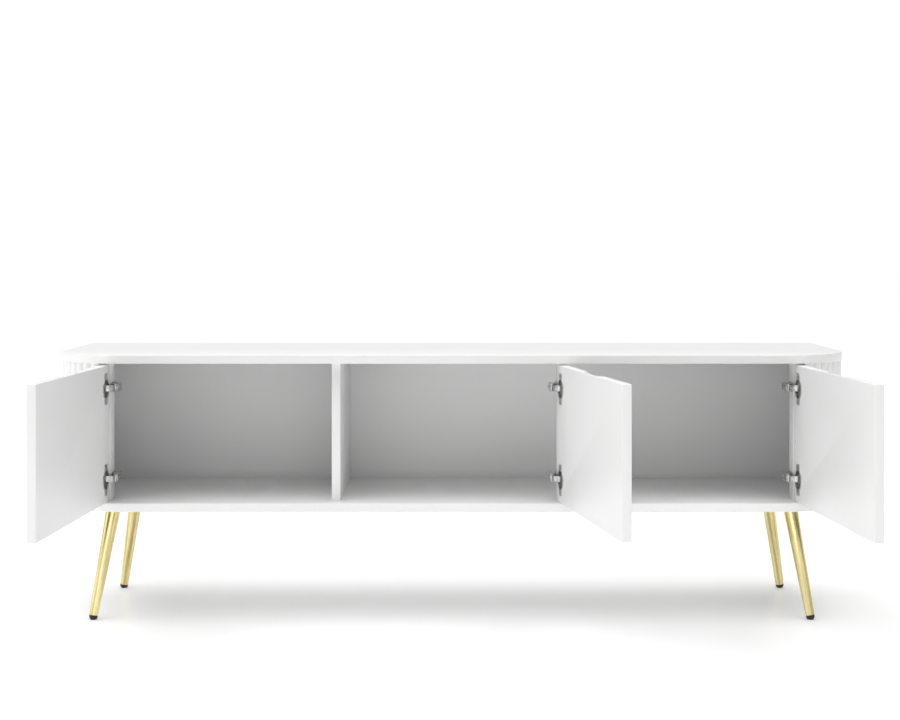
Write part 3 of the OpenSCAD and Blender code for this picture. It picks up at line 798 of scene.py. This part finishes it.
def hinge_cup():
    """A drawn cup with a rolled bottom, and a flange with an ear above and below."""
    inner = CUP_R - CUP_WALL
    cup = lathe([(CUP_R - 2.2 * MM, -CUP_DEEP), (CUP_R - 0.9 * MM, -CUP_DEEP + 0.3 * MM),
                 (CUP_R - 0.2 * MM, -CUP_DEEP + 1.1 * MM), (CUP_R, -CUP_DEEP + 2.2 * MM),
                 (CUP_R, 0.3 * MM), (inner, 0.3 * MM), (inner, -CUP_DEEP + 2.8 * MM),
                 (inner - 0.5 * MM, -CUP_DEEP + 1.6 * MM),
                 (inner - 1.8 * MM, -CUP_DEEP + CUP_WALL)], 64)
    flange = rod((0, 0, FLANGE_T / 2), FLANGE_R, FLANGE_T, sides=96)
    ears = block((-EAR_HALF, -FLANGE_HALF, 0), (EAR_HALF, FLANGE_HALF, FLANGE_T))
    edit(ears)
    choose(ears, "edges", lambda e: runs_along(e, ALONG_Z))
    bpy.ops.mesh.bevel(offset=EAR_R, segments=10, affect="EDGES")
    cut(flange, done(ears), "UNION")
    cut(flange, rod((0, 0, 0), inner, 6 * MM, sides=96))
    soften(flange, FLANGE_EDGE, 2, 50)
    rim = lathe([(inner + 0.2 * MM, FLANGE_T), (inner + 0.5 * MM, FLANGE_T + 0.25 * MM),
                 (inner + 0.9 * MM, FLANGE_T + 0.25 * MM), (inner + 1.3 * MM, FLANGE_T)], 96)
    cut(rim, rod((0, 0, FLANGE_T), inner + 0.15 * MM, 4 * MM, sides=96))
    return moved(join([cup, flange, rim]),
                 Matrix.Translation((CUP_X, POLE_TO_INNER, 0)) @ FACING_Y)


def mounting_plate():
    """The plate on the post, with round corners, and the saddle that holds the arm."""
    face = POST_X - PLATE_T
    plate = block((face, PLATE_Y - PLATE_LEN / 2, -PLATE_HALF),
                  (POST_X, PLATE_Y + PLATE_LEN / 2, PLATE_HALF))
    edit(plate)
    choose(plate, "edges", lambda e: runs_along(e, ALONG_X))
    bpy.ops.mesh.bevel(offset=PLATE_CORNER, segments=6, affect="EDGES")
    soften(done(plate), PLATE_EDGE, 3, 60)
    saddle = block((POST_X - SADDLE_H, PLATE_Y - SADDLE_LEN / 2, -SADDLE_HALF),
                   (face + 0.5 * MM, PLATE_Y + SADDLE_LEN / 2, SADDLE_HALF))
    soften(saddle, PLATE_EDGE, 3)
    return join([plate, saddle])


def hinge_arm():
    """The arm: a pressed channel, open towards the post, whose cheeks narrow to the pivot."""
    x_web = POST_X - ARM_OUT
    x_open = x_web + ARM_CHEEK
    half = ARM_HALF - ARM_T / 2
    arm = block((x_web + ARM_T / 2, ARM_NECK, -half), (x_open, ARM_REAR, half))
    edit(arm)
    choose(arm, "faces", lambda f: f.normal.x > 0.5 or f.normal.y < -0.5)
    bpy.ops.mesh.delete(type="FACE")
    choose(arm, "edges", lambda e: max(v.co.y for v in e.verts) < ARM_NECK + 0.1 * MM)
    bpy.ops.mesh.extrude_region_move(
        TRANSFORM_OT_translate={"value": (0, ARM_FRONT - ARM_NECK, 0)})
    choose(arm, "verts", lambda v: v.co.y < ARM_FRONT + 0.1 * MM and v.co.x > x_open - 1 * MM)
    bpy.ops.transform.translate(value=(-ARM_TAPER, 0, 0))
    choose(arm, "edges", lambda e: runs_along(e, ALONG_X)
           and max(v.co.y for v in e.verts) < ARM_FRONT + 0.1 * MM)
    bpy.ops.mesh.extrude_region_move(
        TRANSFORM_OT_translate={"value": (0, ARM_TIP - ARM_FRONT, 0)})
    choose(arm, "edges", lambda e: max(v.co.y for v in e.verts) < ARM_TIP + 0.1 * MM)
    bpy.ops.transform.translate(value=(ARM_TIP_LIFT, 0, 0))
    bpy.ops.mesh.select_all(action="SELECT")
    bpy.ops.mesh.normals_make_consistent(inside=False)
    done(arm)
    walls = arm.modifiers.new("walls", "SOLIDIFY")
    walls.thickness, walls.offset = ARM_T, 0
    alone(arm)
    bpy.ops.object.modifier_apply(modifier=walls.name)
    soften(arm, ARM_EDGE, 3, 50)
    nose = block((x_web + 0.9 * MM, ARM_FRONT, -half + NOSE_GAP),
                 (x_web + ARM_NOSE, ARM_FRONT + ARM_T, half - NOSE_GAP))
    return join([arm, soften(nose, NOSE_GAP, 2)])


def hinge_set(side):
    """All the loose pieces of one door's two hinges."""
    heights = hinge_heights()
    on_case = [pole_matrix(side, z) for z in heights]
    on_leaf = [door_matrix(side, z) for z in heights]
    case, leaf = "cabinet", "door_" + side

    def put(piece, name, body, places, node):
        whole = spread(piece, places)
        fit_out(whole, name + "_" + side, body, "nickel_hinge", NICKEL, node + "_" + side)

    put(hinge_cup(), "cup_and_flange", leaf, on_leaf, "hinge_cups")
    put(mounting_plate(), "mounting_plate", case, on_case, "hinge_plates")
    put(hinge_arm(), "channel_arm", case, on_case, "hinge_arms")

    flat = Matrix.Translation((CUP_X, POLE_TO_INNER + FLANGE_T, 0)) @ FACING_Y
    ears = [m @ Matrix.Translation((0, 0, s * EAR_Z)) @ flat for m in on_leaf for s in (-1, 1)]
    put(cross_screw(*CUP_SCREW), "cup_screw", leaf, ears, "cup_screws")

    outwards = Matrix.Rotation(-math.pi / 2, 4, "Y")
    seats = [m @ Matrix.Translation((POST_X - PLATE_T, PLATE_Y + s * PLATE_SCREW_OFF, 0))
             @ outwards for m in on_case for s in (-1, 1)]
    put(cross_screw(*PLATE_SCREW), "plate_screw", case, seats, "plate_screws")

    web = [m @ Matrix.Translation((POST_X - ARM_OUT, y, 0)) @ outwards
           for m in on_case for y in ARM_SCREW_YS]
    put(cross_screw(*ARM_SCREW), "arm_screw", case, web, "arm_screws")


for door_side in SIDES:
    door(door_side)
    hinge_set(door_side)


def refinish(finish, *nodes):
    """A better finish on CAD pieces whose shape is kept."""
    for node in nodes:
        piece = frame["nodes"][node]
        for place in piece.material_slots:
            place.material = finish


for door_side in SIDES:
    refinish(NICKEL, "arm_pins_" + door_side, "outer_links_" + door_side,
             "inner_links_" + door_side, "link_pins_" + door_side)
refinish(BEECH, "panel_dowels")
refinish(ZINC, "leg_studs")

# ---------------------------------------------------------------- floor, light and camera


def studio_floor():
    """Glowing white paper, just under the foot caps."""
    bpy.ops.object.select_all(action="DESELECT")
    bpy.ops.mesh.primitive_plane_add(size=60, location=(0, 6, -0.0002))
    floor = new_piece()
    floor.name = "studio_floor"
    paper = Finish("studio_paper", (0.92, 0.92, 0.92), 0.3, IOR=1.3, Emission_Color=(1, 1, 1, 1),
                   Emission_Strength=FLOOR_GLOW)
    paper.put("Roughness", 0.27 + paper.noise(3, 3) * 0.06)
    floor.data.materials.append(paper.material)


def area_light(name, place, target, width, height, power):
    """A flat white lamp at a place, turned to face a target."""
    data = bpy.data.lights.new(name, "AREA")
    data.shape, data.size, data.size_y = "RECTANGLE", width, height
    data.energy = power
    lamp = bpy.data.objects.new(name, data)
    bpy.context.scene.collection.objects.link(lamp)
    lamp.location = place
    lamp.rotation_euler = (Vector(target) - Vector(place)).to_track_quat("-Z", "Y").to_euler()


def studio_light():
    """A white backdrop, a dim fill, a wide soft light from above, and two lamps in front."""
    world = bpy.data.worlds.new("studio")
    bpy.context.scene.world = world
    world.use_nodes = True
    nodes, links = world.node_tree.nodes, world.node_tree.links
    fill = nodes["Background"]
    fill.inputs["Color"].default_value = (1, 1, 1, 1)
    fill.inputs["Strength"].default_value = FILL
    backdrop = nodes.new("ShaderNodeBackground")
    backdrop.inputs["Color"].default_value = (1, 1, 1, 1)
    backdrop.inputs["Strength"].default_value = BACKDROP
    seen = nodes.new("ShaderNodeLightPath")
    either = nodes.new("ShaderNodeMixShader")
    links.new(seen.outputs["Is Camera Ray"], either.inputs[0])
    links.new(fill.outputs[0], either.inputs[1])
    links.new(backdrop.outputs[0], either.inputs[2])
    links.new(either.outputs[0], nodes["World Output"].inputs["Surface"])
    data = bpy.data.lights.new("soft_box", "SUN")
    data.energy = SOFT_BOX * math.pi
    data.angle = math.radians(SOFT_BOX_SPREAD)
    lamp = bpy.data.objects.new("soft_box", data)
    bpy.context.scene.collection.objects.link(lamp)
    lamp.rotation_euler = Vector(SOFT_BOX_FROM).to_track_quat("Z", "Y").to_euler()
    area_light("low_strip", (-0.3, FRONT_Y - 3.2, 0.2), (0, 0, 0.42), 2.6, 0.3, LOW_STRIP)
    area_light("side_box", (-3.4, FRONT_Y - 0.5, 0.6), (0.2, FRONT_Y - 0.2, 0.35), 1.8, 1.0,
               SIDE_BOX)


def camera():
    """A level camera 3 m in front of the cabinet, a little higher than its top."""
    data = bpy.data.cameras.new("view")
    data.sensor_width = 36
    data.lens = 65.14
    data.shift_x = -0.0021
    data.shift_y = -0.1249
    lens = bpy.data.objects.new("view", data)
    bpy.context.scene.collection.objects.link(lens)
    lens.location = (0, FRONT_Y - CAMERA_BACK, top_hi.z + CAMERA_UP)
    lens.rotation_euler = (math.pi / 2, 0, 0)
    data.clip_end = 100
    bpy.context.scene.camera = lens


studio_floor()
studio_light()
camera()
bpy.context.scene.view_settings.view_transform = "Standard"
